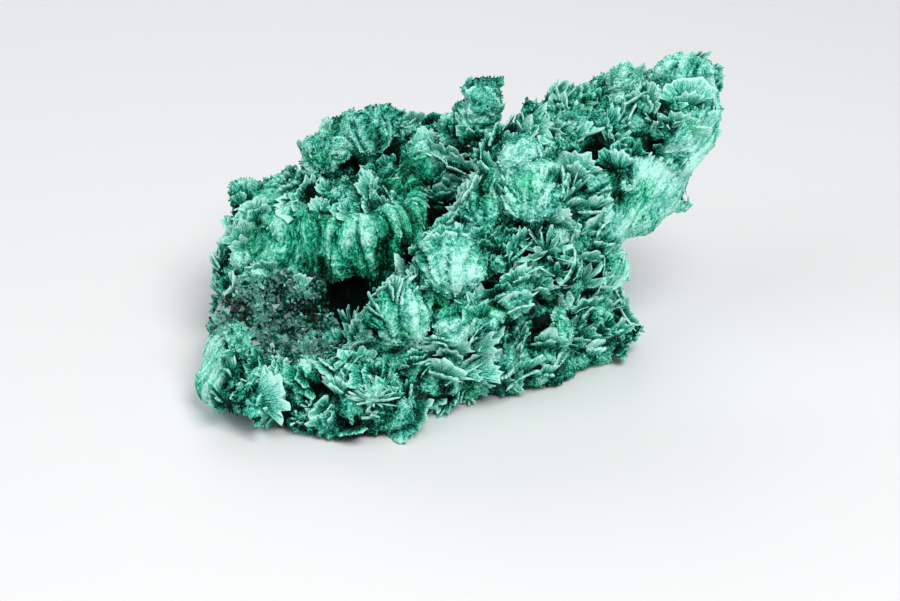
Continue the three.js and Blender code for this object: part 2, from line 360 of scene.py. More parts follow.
# Crumbs of the solid that stick out where the real outline is smooth: the middle of each, and its radius.
CRUMBS = {
    "under_horn": ((33.7, 4.7, 20.5), 4.4),
    "behind_knob": ((6.0, 14.3, 36.9), 3.2),
    "left_end_top": ((-32.5, 15.6, 21.5), 3.2),
}
CRUMB_SMOOTHING = 160


def depth_behind(tree, points, out, start, far):
    """How deep the body is behind each point of its skin, up to far. A ray starts a little inside."""
    result = np.full(len(points), far)
    for i, (point, normal) in enumerate(zip(points, out)):
        away = tree.ray_cast(Vector(point - normal * start), Vector(-normal), far)[3]
        if away is not None:
            result[i] = away
    return result


def softened_skin(name, voxel, smoothing):
    """A copy of the solid, softened where its facets meet and drawn in a little, and its way out."""
    piece = bpy.data.objects.new(name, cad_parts[NODE].data.copy())
    bpy.context.scene.collection.objects.link(piece)
    apply_modifier(piece, "WELD", merge_threshold=1e-6)
    apply_modifier(piece, "REMESH", mode="VOXEL", voxel_size=voxel * MM)
    apply_modifier(piece, "SMOOTH", factor=0.5, iterations=smoothing)
    places, normals, triangles = mesh_arrays(piece.data)
    ends = np.empty(2 * len(piece.data.edges), np.int32)
    piece.data.edges.foreach_get("vertices", ends)
    first, second = ends.reshape(-1, 2).T
    around = np.bincount(first, minlength=len(places)) + np.bincount(second, minlength=len(places))

    def averaged(values):
        """For each point, the mean of its neighbours."""
        total = np.bincount(first, values[second], len(places))
        total += np.bincount(second, values[first], len(places))
        return total / around

    tree = BVHTree.FromPolygons(places.tolist(), triangles.tolist())
    inset = np.minimum(INSET, THIN_SHARE * depth_behind(tree, places, normals, start=0.1, far=6.0))
    for _ in range(INSET_SMOOTHING):
        inset = 0.5 * inset + 0.5 * averaged(inset)
    places = places - normals * inset[:, None]
    loose = np.zeros(len(places))
    for middle, radius in CRUMBS.values():
        gap = np.linalg.norm(places - np.array(middle), axis=1)
        loose = np.maximum(loose, np.clip(1.3 - gap / radius, 0, 0.5))
    for _ in range(CRUMB_SMOOTHING):
        smoother = np.stack([averaged(places[:, k]) for k in range(3)], axis=1)
        places = places + loose[:, None] * (smoother - places)
    move_points(piece, places)
    return piece, normals


# Dark pits, sunk into the skin and darkened with painted shade: the pixel where the middle of each shows,
# and its radius.
PITS = {
    "end_of_slot": ((434, 224), 5.0),
    "under_block": ((350, 302), 4.8),
    "by_the_star": ((318, 392), 3.0),
    "behind_crest": ((545, 312), 2.2),
    "horn_root": ((566, 166), 2.6),
    "horn_middle": ((598, 156), 2.8),
    "horn_root_low": ((562, 190), 1.8),
    "horn_tip": ((696, 92), 2.4),
    "between_tufts": ((484, 292), 1.8),
    "under_arch": ((352, 170), 2.4),
    "under_horn_fan": ((620, 196), 2.6),
}
PIT_DEPTH = 2.0

# The points that tell which way is out, and the rays that tell how open a place is.
GUIDE_POINTS = 9000
SKY_RAYS = 24
SKY_REACH = 14.0
# Where on a plate the view is tried, in radii along it and aside, and how far the lobes stand over the skin.
PLATE_SPOTS = [(0.4, 0.0), (0.7, 0.0), (0.95, 0.0), (0.7, 0.3), (0.7, -0.3)]
SKIN_LOBES = 0.7


class Ground:
    """The coarse skin that things are placed by: its points, its way out, and how open each place is."""

    def __init__(self, body):
        self.places, _, self.triangles = mesh_arrays(body.data)
        self.tree = BVHTree.FromPolygons(self.places.tolist(), self.triangles.tolist())
        corners = self.places[self.triangles]
        cross = np.cross(corners[:, 1] - corners[:, 0], corners[:, 2] - corners[:, 0])
        self.areas = 0.5 * np.linalg.norm(cross, axis=1)
        self.faces = unit(cross)
        self.spots, self.ways = self.sample(GUIDE_POINTS)
        pits = [(self.seen_at(pixel)[0], radius) for pixel, radius in PITS.values()]
        self.pits = [(middle, radius) for middle, radius in pits if middle is not None]

    def sample(self, count):
        """Seeded points all over, with the face's normal."""
        chosen = rng.choice(len(self.areas), size=count, p=self.areas / self.areas.sum())
        a, b = rng.random((2, count, 1))
        over = a + b > 1
        a, b = np.where(over, 1 - a, a), np.where(over, 1 - b, b)
        corners = self.places[self.triangles[chosen]]
        points = corners[:, 0] + a * (corners[:, 1] - corners[:, 0]) + b * (corners[:, 2] - corners[:, 0])
        return points, self.faces[chosen]

    def way_out(self, points, normals, reach):
        """The average normal of the skin within reach of each point, on its own side."""
        result = np.empty_like(points)
        for start in range(0, len(points), 400):
            part = slice(start, start + 400)
            gap = np.linalg.norm(points[part, None] - self.spots[None], axis=2)
            weight = np.maximum(1 - gap / reach, 0.0) * (normals[part] @ self.ways.T > 0.1)
            result[part] = weight @ self.ways
        return unit(result)

    def openness(self, points, out):
        """The share of the sky that a point on the skin sees, from 0 to 1."""
        result = np.empty(len(points))
        sky = scatter(SKY_RAYS)
        for i, (point, normal) in enumerate(zip(points, out)):
            start = Vector(point + normal * 0.8)
            seen = 0
            for ray in sky:
                aim = ray if ray @ normal > 0 else -ray
                hit = self.tree.ray_cast(start, Vector(aim), SKY_REACH)
                seen += hit[0] is None
            result[i] = seen / SKY_RAYS
        return result

    def height(self, points):
        """How far points stand out of the skin."""
        result = np.zeros(len(points))
        for i, point in enumerate(points):
            nearest, normal, _, away = self.tree.find_nearest(Vector(point))
            result[i] = away if (Vector(point) - nearest).dot(normal) > 0 else -away
        return result

    def pit_depth(self, points):
        """How far each point is down a pit, from 0 outside to 1."""
        depth = np.zeros(len(points))
        for middle, radius in self.pits:
            gap = np.linalg.norm(points - middle, axis=1) / radius
            depth = np.maximum(depth, np.clip(2.2 * (1 - gap), 0, 1))
        return depth

    def share_in_view(self, root, lean, face, radius):
        """How much of a plate the camera sees past the skin, from 0 to 1."""
        side = unit(np.cross(lean, face))
        seen = 0
        for far, aside in PLATE_SPOTS:
            spot = root + radius * (far * lean + aside * side)
            ray = spot - CAMERA_PLACE
            distance = np.linalg.norm(ray)
            hit = self.tree.ray_cast(Vector(CAMERA_PLACE), Vector(ray / distance), distance + SKIN_LOBES)
            seen += hit[0] is None
        return seen / len(PLATE_SPOTS)

    def seen_at(self, pixel):
        """The point of the skin that the camera sees at a pixel and its normal, or None for both."""
        right, up, forward = camera_axes()
        across, down = (np.array(pixel) - PICTURE_MIDDLE) / FOCAL_PIXELS
        aim = unit(forward + right * across - up * down)
        hit = self.tree.ray_cast(Vector(CAMERA_PLACE), Vector(aim))
        return (None, None) if hit[0] is None else (np.array(hit[0]), np.array(hit[1]))


def spread_shade(ground, points):
    """How open the skin is near each point, from a few hundred places; it sets the painted shade of the
    skin's colour.
    """
    spots, normals = ground.spots[::14], ground.ways[::14]
    known = ground.openness(spots, normals)
    result = np.empty(len(points))
    for start in range(0, len(points), 2000):
        part = slice(start, start + 2000)
        gap = np.linalg.norm(points[part, None] - spots[None], axis=2)
        weight = np.exp(-((gap / 1.8) ** 2)) + 1e-9
        result[part] = weight @ known / weight.sum(axis=1)
    return result


# The lobes of the skin

LOBE_HEIGHT = 1.5
LOBE_HEIGHT_UNDER_FANS = 0.9
LOBE_PITCH = 3.0
SMALL_LOBE_PITCH = 1.2
SMALLEST_LOBE_PITCH = 0.6
# How far the lobes are bent out of line, and over what distance.
BEND = 0.8
BEND_PITCH = 1.9
DOME_HEIGHT = 1.3
# The strands of the flat fibres, and the lumps of the bare slot.
STRAND_PITCH = 1.3
FINE_STRAND_PITCH = 0.5
STRAND_FOOT = 0.9
STRAND_HEIGHT = 0.4
BARE_PITCH = 4.5
BARE_UNDER = 0.2
LUMP_PITCH = 2.1
LUMP_HEIGHT = 1.3
GRIT_HEIGHT = 0.5
# The skin is plain up to this height, so that the specimen rests flat.
PLAIN_FOOT = 0.4
# A tuft's ribs spread from a foot this many radii down the skin from its top, to this angle (radians) on
# each side, with cracks between them and a wavy rim.
TUFT_FOOT = 0.8
TUFT_HALF_ANGLE = 0.85
TUFT_RIM_PITCH = 2.0
RIB_PITCH = 1.05
RIB_STRETCH = 0.14
RIB_HEIGHT = 1.3
CRACK_PITCH = 2.4
CRACK_SIDE = 0.2
SKIN_ROUGHNESS = 0.07
# How fine the streaks of colour are across and along the flutes and the flat fibres, and elsewhere.
STREAK_FLOW = np.array([3.4, 1.0, 5.0])
STREAK_EVEN = 3.0
# How pale a cluster is that is neither pale nor dark.
MIDDLE_BLOOM = 0.38


def tuft_shape(points, out, small, number, top, axis, radius):
    """One tuft at each point: its dome from 0 to 1, how high it stands, and how far up it the point is."""
    climb = along_the_skin(top, axis)
    gap = points - top + TUFT_FOOT * radius * climb
    aside, fore = gap @ np.cross(axis, climb), gap @ climb
    angle = np.arctan2(aside, fore)
    spread = angle * 1.5 * radius
    outward = RIB_STRETCH * np.hypot(aside, fore)
    place = np.stack([spread, NOISE_APART * number + 0 * spread, outward], axis=1)
    ribs = 0.6 * billow(place, RIB_PITCH, 18) + 0.4 * small
    crack = np.clip(billow(place, CRACK_PITCH, 27) / CRACK_SIDE, 0, 1)
    reach = radius * (0.7 + 0.5 * billow(place, TUFT_RIM_PITCH, 19))
    wedge = np.clip(2.0 * (np.abs(angle) - TUFT_HALF_ANGLE), 0, 1)
    level = np.hypot(aside, fore - TUFT_FOOT * radius) / reach
    near = (np.linalg.norm(points - top, axis=1) < 1.5 * radius) & (out @ axis > 0.1)
    dome = np.maximum(1 - level**2.6, 0.0) ** 0.45 * near * (1 - wedge)
    tall = (min(DOME_HEIGHT, 0.36 * radius) + RIB_HEIGHT * ribs) * dome * (0.4 + 0.6 * crack)
    rise = (0.05 + 0.15 * dome + 0.8 * ribs) * (0.35 + 0.65 * crack)
    return dome, tall, rise


def relief(points, out, tufts):
    """How high the lobes stand, how far up them each point is, and how pale its tuft is."""
    bent = np.stack([value_noise(points, BEND_PITCH, seed) for seed in (21, 22, 23)], axis=1)
    bent = points + BEND * bent
    rise = fine_billow(bent, LOBE_PITCH, SMALL_LOBE_PITCH, 1)
    small = fine_billow(bent, SMALL_LOBE_PITCH, SMALLEST_LOBE_PITCH, 8)
    height = np.where(is_velvet(points, tufts["top"]), LOBE_HEIGHT, LOBE_HEIGHT_UNDER_FANS) * rise
    pale = np.zeros(len(points))
    for number, tuft in enumerate(zip(tufts["top"], tufts["axis"], tufts["radius"])):
        dome, tall, up_the_tuft = tuft_shape(points, out, small, number, *tuft)
        higher = (dome > 0) & (tall > height)
        height = np.where(higher, tall, height)
        rise = np.where(higher, up_the_tuft, rise)
        pale = np.where(higher, tufts["bloom"][number] - MIDDLE_BLOOM, pale)
    area = areas_of(points, out)
    block = (area == "fluted_block") & (out[:, 2] > -0.5)
    groove = flutes(points)
    height = np.where(block, FLUTE_DEPTH * groove, height)
    rise = np.where(block, groove, rise)
    pelt = is_pelt(points, out)
    strand = fine_billow(pelt_places(points), STRAND_PITCH, FINE_STRAND_PITCH, 14)
    height = np.where(pelt, STRAND_FOOT + STRAND_HEIGHT * strand, height)
    rise = np.where(pelt, 0.5 + 0.5 * strand, rise)
    bare = (area == "slot") & (value_noise(points, BARE_PITCH, 30) < BARE_UNDER)
    lumps = billow(bent, LUMP_PITCH, 31)
    height = np.where(bare, LUMP_HEIGHT * lumps + GRIT_HEIGHT * small, height)
    rise = np.where(bare, 0.3 * lumps + 0.1 * small, rise)
    height = np.where(points[:, 2] < PLAIN_FOOT, 0.0, height)
    return height, rise, pale


def lobed_skin(ground, tufts, material):
    """The finely lobed skin that shows, and what is known of each of its points."""
    piece, out = softened_skin("malachite_body", FINE_VOXEL, FINE_SMOOTHING)
    smooth = mesh_arrays(piece.data)[0]
    height, rise, pale = relief(smooth, out, tufts)
    height = height + rng.normal(0, SKIN_ROUGHNESS, len(height)) * (height > 0)
    under_fans = ~is_velvet(smooth, tufts["top"])
    pit = ground.pit_depth(smooth)
    height = height - PIT_DEPTH * pit
    places = smooth + out * height[:, None]
    move_points(piece, places)
    area = areas_of(smooth, out)
    block = area == "fluted_block"
    pelt = is_pelt(smooth, out)
    fibre = np.where(block[:, None], flute_places(smooth) * STREAK_FLOW, STREAK_EVEN * smooth)
    fibre = np.where(pelt[:, None], pelt_places(smooth) * STREAK_FLOW, fibre)
    bloom = 0.28 + 0.5 * rise + pale + 0.16 * pelt - 0.16 * under_fans
    bloom = np.where(block, 0.42 + 0.34 * rise, bloom)
    stained = (value_noise(smooth, 1.8, 16) > 0.3) & (rise < 0.4)
    values = {
        "along": np.where(block, 0.22 + 0.48 * rise, 0.2 + 0.6 * rise),
        "lush": 0.75 * block,
        "bloom": bloom + rng.normal(0, 0.06, len(rise)),
        # The openness of the skin, lowered in the pits, for the painted shade that darkens its colour.
        "shade": spread_shade(ground, smooth) * (1 - 0.72 * pit),
        "grey": np.where(area == "slot", 0.4, 0.1) * stained * (1 - pit),
        "fibre": fibre,
    }
    write_values(piece.data, values)
    piece.data.polygons.foreach_set("use_smooth", np.zeros(len(piece.data.polygons), bool))
    dress(piece, material)
    print("body", len(mesh_arrays(piece.data)[2]), "triangles")
    return piece, {"places": places, "out": out, "area": area, "pit": pit, **values}


# Plates: closed fan-shaped slips of fibres, thin at the root and thick near the rim, with a notched rim and
# grooved faces. Fans, shells, blades, rays, thorns and chips are made of them.

PLATE_SHARES = np.array([0.40, 0.74, 0.93, 1.0])
PLATE_SWELL = np.array([0.55, 0.9, 1.0, 0.45])
NOTCH_PITCH = 1.4
FIBRE_ACROSS = 4.2
FIBRE_ALONG = 0.7


def plate_faces(columns):
    """The triangles of one plate: a root point, then rings of its front, then rings of its back."""
    rings = len(PLATE_SHARES)
    faces = []

    def at(back, ring, column):
        return 1 + back * rings * columns + ring * columns + column

    def quad(a, b, c, d):
        faces.append((a, b, c))
        faces.append((a, c, d))

    for column in range(columns - 1):
        faces.append((0, at(0, 0, column), at(0, 0, column + 1)))
        faces.append((0, at(1, 0, column + 1), at(1, 0, column)))
        for ring in range(rings - 1):
            below, above = at(0, ring, column), at(0, ring + 1, column)
            quad(below, above, above + 1, below + 1)
            below, above = at(1, ring, column), at(1, ring + 1, column)
            quad(below, below + 1, above + 1, above)
        front, back = at(0, rings - 1, column), at(1, rings - 1, column)
        quad(front, back, back + 1, front + 1)
    last = columns - 1
    faces.append((0, at(1, 0, 0), at(0, 0, 0)))
    faces.append((0, at(0, 0, last), at(1, 0, last)))
    for ring in range(rings - 1):
        quad(at(0, ring, 0), at(1, ring, 0), at(1, ring + 1, 0), at(0, ring + 1, 0))
        quad(at(0, ring, last), at(0, ring + 1, last), at(1, ring + 1, last), at(1, ring, last))
    return np.array(faces)


def plate_meshes(plates, columns):
    """Places, triangles and values of many plates with the same number of columns."""
    count = len(plates["radius"])
    share = np.linspace(-1, 1, columns)[None] + rng.normal(0, 0.35 / columns, (count, columns))
    angle = share * plates["wide"][:, None]
    axis, face = plates["axis"], plates["face"]
    side = np.cross(face, axis)
    aim = axis[:, None] * np.cos(angle)[..., None] + side[:, None] * np.sin(angle)[..., None]
    arc = angle * plates["radius"][:, None]
    lot = NOISE_APART * np.arange(count)[:, None] + np.zeros((count, columns))
    spots = np.stack([arc, lot, 0 * arc], axis=2).reshape(-1, 3)
    lobe = np.abs(value_noise(spots, NOTCH_PITCH, 3)).reshape(count, columns)
    notch = rng.uniform(-1, 1, (count, columns))
    reach = 1 - plates["ragged"][:, None] * (1 - 1.6 * lobe + 0.45 * notch)
    reach = reach * (1 - plates["domed"][:, None] * share**2)
    groove = 1 + 0.6 * rng.uniform(-1, 1, (count, columns))
    groove[:, 0] *= 0.5
    groove[:, -1] *= 0.5
    length = plates["radius"][:, None] * reach
    rings = PLATE_SHARES[None, :, None]
    middle = aim[:, None] * (length[:, None] * rings)[..., None]
    curl = plates["cup"][:, None, None] * (share[:, None] ** 2 * rings + 0.6 * rings**2)
    curl = curl + plates["wave"][:, None, None] * np.sin(3.0 * share[:, None] + lot[:, None]) * rings
    middle = middle + face[:, None, None] * curl[..., None]
    half = 0.5 * plates["thick"][:, None, None] * PLATE_SWELL[None, :, None] * groove[:, None]
    offset = face[:, None, None] * half[..., None]
    front = (middle + offset).reshape(count, -1, 3)
    back = (middle - offset).reshape(count, -1, 3)
    places = np.concatenate([np.zeros((count, 1, 3)), front, back], axis=1) + plates["root"][:, None]

    def over_plates(values):
        """Values of the columns for every point of the plates, with 0 at the roots."""
        return np.concatenate([np.zeros((count, 1)), np.tile(values, (1, 2 * len(PLATE_SHARES)))], axis=1)

    along = np.repeat(PLATE_SHARES, columns)
    along = np.concatenate([[0.0], along, along])
    across = over_plates(arc) * FIBRE_ACROSS
    lots = np.broadcast_to(lot[:, :1], across.shape)
    inward = along[None] * plates["radius"][:, None] * FIBRE_ALONG
    high = over_plates(0.5 * (lobe - 0.5))
    size = places.shape[1]
    values = {
        "along": np.tile(along, count),
        "bloom": (np.repeat(plates["bloom"], size).reshape(count, size) + high * along[None]).ravel(),
        "shade": np.repeat(plates["shade"], size),
        "fibre": np.stack([across, lots, inward], axis=2).reshape(-1, 3),
    }
    faces = plate_faces(columns)[None] + size * np.arange(count)[:, None, None]
    return places.reshape(-1, 3), faces.reshape(-1, 3), values


# Clusters: a few plates that open from one root. Two plates lie over each other like a book's pages, and
# more point all ways in a cone.

GOLDEN_TURN = math.pi * (3 - math.sqrt(5))
# For each kind: the plates in a cluster, their half width in degrees, their length and their thickness, the
# half angle that the book or the cone opens by, the columns of a plate, how ragged its rim is and how much
# shorter it is at the sides. For those that grow all over: the distance between clusters, how far they lean
# out of the skin, how far they stray from their way, and the least open place that they grow in.
KINDS = {
    "fan": {
        "plates": 2, "wide": 58, "radius": 4.0, "thick": 0.32, "book": 9, "columns": 17,
        "ragged": 0.24, "domed": 0.05, "spacing": 2.9, "lean_out": 0.65, "stray": 0.4, "least_open": 0.28,
    },
    "shell": {
        "plates": 2, "wide": 42, "radius": 3.8, "thick": 0.24, "book": 10, "columns": 13,
        "ragged": 0.22, "domed": 0.05, "spacing": 2.5, "lean_out": 0.75, "stray": 0.5, "least_open": 0.28,
    },
    "blades": {
        "plates": 9, "wide": 10, "radius": 4.2, "thick": 0.2, "cone": 46, "columns": 4,
        "ragged": 0.05, "domed": 0.4, "spacing": 2.1, "lean_out": 1.0, "stray": 0.6, "least_open": 0.28,
    },
    "rays": {
        "plates": 44, "wide": 5, "radius": 4.4, "thick": 0.25, "cone": 75, "columns": 3,
        "ragged": 0.05, "domed": 0.3,
    },
    "thorns": {
        "plates": 6, "wide": 14, "radius": 2.0, "thick": 0.3, "cone": 55, "columns": 4,
        "ragged": 0.05, "domed": 0.4, "spacing": 2.2, "lean_out": 1.2, "stray": 0.6, "least_open": 0.05,
    },
    "chips": {
        "plates": 2, "wide": 48, "radius": 2.5, "thick": 0.26, "book": 15, "columns": 9,
        "ragged": 0.28, "domed": 0.05, "spacing": 1.8, "lean_out": 0.8, "stray": 0.8, "least_open": 0.12,
    },
}


def traits(kinds, key):
    """One trait of each cluster's kind."""
    return np.array([KINDS[kind][key] for kind in kinds])


def cluster_arrays(roots, lean, face, radius, open_by, bloom, shade):
    """What a cluster needs, one row for each."""
    return {
        "root": roots,
        "axis": unit(lean),
        "face": unit(face),
        "radius": radius,
        "open": open_by,
        "roll": rng.uniform(0, 2 * math.pi, len(radius)),
        "bloom": bloom,
        "shade": shade,
    }


def cluster_plates(kind, clusters):
    """The plates of many clusters of one kind."""
    trait = KINDS[kind]
    each = trait["plates"]
    count = len(clusters["radius"])
    owner = np.repeat(np.arange(count), each)
    number = np.tile(np.arange(each), count)
    total = len(owner)
    data = {key: value[owner] for key, value in clusters.items()}
    axis = data["axis"]
    face = unit(data["face"] - axis * dot(data["face"], axis))
    side = np.cross(face, axis)
    wide = np.radians(trait["wide"]) * data["open"] * rng.uniform(0.75, 1.2, total)
    if "cone" in trait:
        far = np.sqrt((number + 0.5) / each) * np.radians(trait["cone"]) * data["open"]
        turn = number * GOLDEN_TURN + data["roll"]
        fore, aside = far * np.sin(turn), far * np.cos(turn)
        roll = rng.uniform(-1.2, 1.2, total)
        length = 1 - 0.25 * rng.random(total) ** 2
    else:
        page = 2 * number - 1
        fore = page * np.radians(trait["book"]) * data["open"] + rng.normal(0, 0.06, total)
        aside = rng.normal(0, 0.12, total)
        roll = rng.normal(0, 0.14, total)
        length = 1 - 0.16 * page - 0.12 * rng.random(total)
    aim = turned(axis, side, -fore)
    plane = turned(face, side, -fore)
    aim = turned(aim, plane, aside)
    plane = turned(plane, aim, roll)
    return {
        "root": data["root"] + 0.15 * scatter(total),
        "axis": aim,
        "face": plane,
        "wide": wide,
        "radius": data["radius"] * length,
        "thick": trait["thick"] * rng.uniform(0.75, 1.25, total),
        "ragged": np.full(total, trait["ragged"]),
        "domed": np.full(total, trait["domed"]),
        "cup": 0.10 * data["radius"] * rng.normal(0, 1, total) * np.minimum(wide, 1.0),
        "wave": 0.03 * data["radius"] * rng.uniform(0, 1, total) * wide,
        "bloom": data["bloom"] + rng.uniform(-0.1, 0.1, total),
        "shade": data["shade"],
    }


def joined(groups):
    """Several sets of arrays as one."""
    return {key: np.concatenate([group[key] for group in groups]) for key in groups[0]}


def chosen(group, which):
    return {key: value[which] for key, value in group.items()}


def grow_piece(name, kinds, clusters, material, ground, highest):
    """One piece of many clusters. Plates whose tips are under the skin or too high over it are left out."""
    parts = []
    offset = 0
    for kind in sorted(set(kinds)):
        plates = cluster_plates(kind, chosen(clusters, kinds == kind))
        tips = plates["root"] + plates["axis"] * plates["radius"][:, None]
        height = ground.height(tips)
        plates = chosen(plates, (height > 0.15) & (height < highest) & (tips[:, 2] > 0.3))
        places, faces, values = plate_meshes(plates, KINDS[kind]["columns"])
        parts.append({"places": places, "faces": faces + offset, **values})
        offset += len(places)
    part = joined(parts)
    places, faces = part.pop("places"), part.pop("faces")
    dress(new_object(name, places, faces, part), material)
    print(name, len(kinds), "clusters,", len(faces), "triangles")


# Clusters that cover the skin

# The share of each kind in each area.
MIXES = {
    "front_ridge": {"fan": 0.5, "shell": 0.3, "blades": 0.2},
    "right_foot": {"fan": 0.27, "shell": 0.35, "blades": 0.38},
    "horn": {"fan": 0.35, "shell": 0.3, "blades": 0.35},
    "back": {"fan": 0.5, "shell": 0.4, "blades": 0.1},
    "left_end": {"fan": 0.55, "shell": 0.4, "blades": 0.05},
    "plateau": {"fan": 0.4, "shell": 0.6},
    "slot": {"thorns": 1.0},
    "low_rim": {"chips": 0.75, "fan": 0.15, "thorns": 0.1},
}
FIELD_POINTS = 26000
# How far the middle of a cluster's tips stands out of the skin, from and to, and the most for one plate.
STAND = (1.8, 2.8)
HIGHEST = 3.8
# How pale they are, from and to.
FIELD_BLOOM = (0.22, 0.60)
LEAST_THICKNESS = 2.0
# How near they come to a listed cluster, as a share of its radius.
KEEP_CLEAR = 0.5


def thin_out(points, spacing):
    """Which points to keep so that two are never nearer than the mean of their spacings."""
    kept = []
    places = np.empty((0, 3))
    apart = np.empty(0)
    for i, point in enumerate(points):
        gaps = np.linalg.norm(places - point, axis=1)
        if np.any(gaps < (apart + spacing[i]) / 2):
            continue
        kept.append(i)
        places = np.vstack([places, point])
        apart = np.append(apart, spacing[i])
    return np.array(kept, int)


def pick_kinds(area):
    """A kind of cluster for each place, by the mix of its area, or None where nothing grows."""
    kinds = np.empty(len(area), dtype=object)
    for name, mix in MIXES.items():
        here = area == name
        kinds[here] = rng.choice(list(mix), size=here.sum(), p=list(mix.values()))
    return kinds


def field_clusters(ground, placed, tuft_tops):
    """The clusters that cover the skin, clear of the listed ones."""
    points, normals = ground.sample(FIELD_POINTS)
    out = ground.way_out(points, normals, 2.6)
    area = areas_of(points, out)
    kinds = pick_kinds(area)
    bare = np.array([kind is None for kind in kinds]) | is_pelt(points, out) | is_velvet(points, tuft_tops)
    least_up = np.where(points[:, 2] > 12, -0.25, -0.8)
    usable = (points[:, 2] > 0.6) & (out[:, 2] > least_up) & ~bare
    points, out, area, kinds = points[usable], out[usable], area[usable], kinds[usable]
    spacing = traits(kinds, "spacing")
    order = np.argsort(-spacing, kind="stable")
    apart = np.concatenate([placed["radius"] * KEEP_CLEAR, spacing[order]])
    kept = thin_out(np.vstack([placed["root"], points[order]]), apart)
    kept = order[kept[len(placed["radius"]) :] - len(placed["radius"])]
    # How open each place is: it keeps clusters out of closed places and sets the painted shade of their
    # colour.
    shade = ground.openness(points[kept], out[kept])
    sound = (shade > traits(kinds[kept], "least_open")) & (ground.pit_depth(points[kept]) < 0.4)
    sound &= depth_behind(ground.tree, points[kept], out[kept], start=0.2, far=12.0) > LEAST_THICKNESS
    kept, shade = kept[sound], shade[sound]
    points, out, area, kinds = points[kept], out[kept], area[kept], kinds[kept]
    count = len(points)
    along = along_the_skin(points, out)
    stray = traits(kinds, "stray")[:, None] * scatter(count)
    lean = unit(along + traits(kinds, "lean_out")[:, None] * out + stray)
    low_front = (points[:, 1] < 0) & (points[:, 2] < 18)
    face = out - 0.2 * along + np.where(low_front, 0.75, 0.4)[:, None] * scatter(count)
    radius = traits(kinds, "radius") * rng.uniform(0.75, 1.15, count)
    stand = rng.uniform(*STAND, count)
    sink = np.maximum(radius * np.sum(lean * out, axis=1) - stand, 0.0)
    bloom = rng.uniform(*FIELD_BLOOM, count)
    open_by = rng.uniform(0.85, 1.15, count)
    clusters = cluster_arrays(points - out * sink[:, None], lean, face, radius, open_by, bloom, shade)
    return kinds, clusters, area


# Clusters placed one by one. Each has its kind, the pixel where its root or its middle shows, the angle that
# it opens at in the picture (degrees from the right, anticlockwise; None opens straight out of the skin),
# its radius, how wide it opens against its kind, and how pale it is. A tuft is part of the skin.
FEATURES = {
    "great_tuft": ("tuft", (452, 268), None, 5.2, 1.0, 0.22),
    "crest_tuft": ("tuft", (404, 322), None, 5.4, 1.0, 0.20),
    "crest_tuft_foot": ("fan", (386, 345), 120, 4.6, 1.06, 0.08),
    "crest_fan": ("fan", (448, 358), 95, 4.4, 1.06, 0.18),
    "open_fan": ("fan", (514, 326), 95, 4.4, 0.96, 0.20),
    "star_of_rays": ("rays", (372, 402), 95, 4.2, 1.0, 0.42),
    "toe_fan": ("fan", (254, 400), 35, 5.0, 1.15, 0.12),
    "inner_fan": ("fan", (362, 372), 110, 3.6, 0.96, 0.05),
    "dark_tuft": ("tuft", (483, 218), None, 3.4, 1.0, -0.14),
    "pale_tuft": ("tuft", (530, 198), None, 4.0, 1.0, 0.2),
    "pale_tuft_top": ("tuft", (522, 168), None, 3.6, 1.0, 0.16),
    "long_fan": ("shell", (512, 132), 2, 7.6, 0.63, 0.10),
    "wing_left": ("blades", (545, 254), 155, 5.4, 1.0, 0.22),
    "wing_right": ("blades", (545, 254), 30, 4.6, 1.14, 0.18),
    "curled_fan": ("fan", (562, 232), 50, 3.4, 0.92, 0.14),
    "horn_fan": ("fan", (670, 139), 78, 5.2, 1.08, 0.20),
    "horn_top": ("tuft", (690, 80), None, 3.6, 1.0, 0.00),
    "horn_top_left": ("tuft", (668, 76), None, 3.0, 1.0, -0.04),
    "horn_top_right": ("tuft", (704, 88), None, 3.0, 1.0, 0.02),
    "horn_lobe": ("tuft", (626, 80), None, 2.9, 1.0, 0.16),
    "horn_lobe_left": ("tuft", (604, 88), None, 2.6, 1.0, 0.02),
    "white_knob": ("tuft", (617, 102), None, 1.6, 1.0, 0.40),
    "bunch": ("blades", (556, 276), 80, 4.0, 1.15, 0.16),
    "broad_blade": ("blades", (578, 288), 55, 5.4, 1.15, 0.26),
    "fishtail": ("fan", (560, 308), 75, 2.6, 0.87, 0.28),
    "slanting_sheaf": ("shell", (468, 352), 32, 6.4, 0.47, 0.16),
    "slanting_sheaf_low": ("shell", (452, 376), 28, 7.0, 0.42, 0.04),
    "low_fan": ("fan", (500, 385), 60, 4.0, 1.06, 0.05),
    "shelf_fan": ("shell", (228, 308), -42, 4.4, 0.68, 0.18),
    "bright_plate": ("fan", (300, 296), 90, 3.4, 0.85, 0.20),
    "slot_blade": ("blades", (350, 332), 88, 4.4, 0.64, 0.02),
    "slot_blade_low": ("blades", (300, 356), 65, 2.4, 0.86, 0.02),
    "back_arch": ("tuft", (372, 132), None, 4.0, 1.0, 0.00),
    "back_lobe": ("tuft", (322, 150), None, 3.4, 1.0, 0.04),
    "back_knob": ("tuft", (484, 100), None, 3.8, 1.0, -0.02),
}
# How deep their roots lie under the skin, where it is not 0.3, and how high a tuft's tips reach over it.
PLACED_SINK = {"rays": -0.6, "blades": -0.2}
TUFT_STAND = 2.4
# A cluster that the skin would hide tilts toward the camera until most of it shows.
TILTS = (0.0, 0.15, 0.3, 0.45, 0.6, 0.8, 1.0)
# The tips of all the plates placed one by one may stand as high as they like.
NO_LIMIT = 99.0


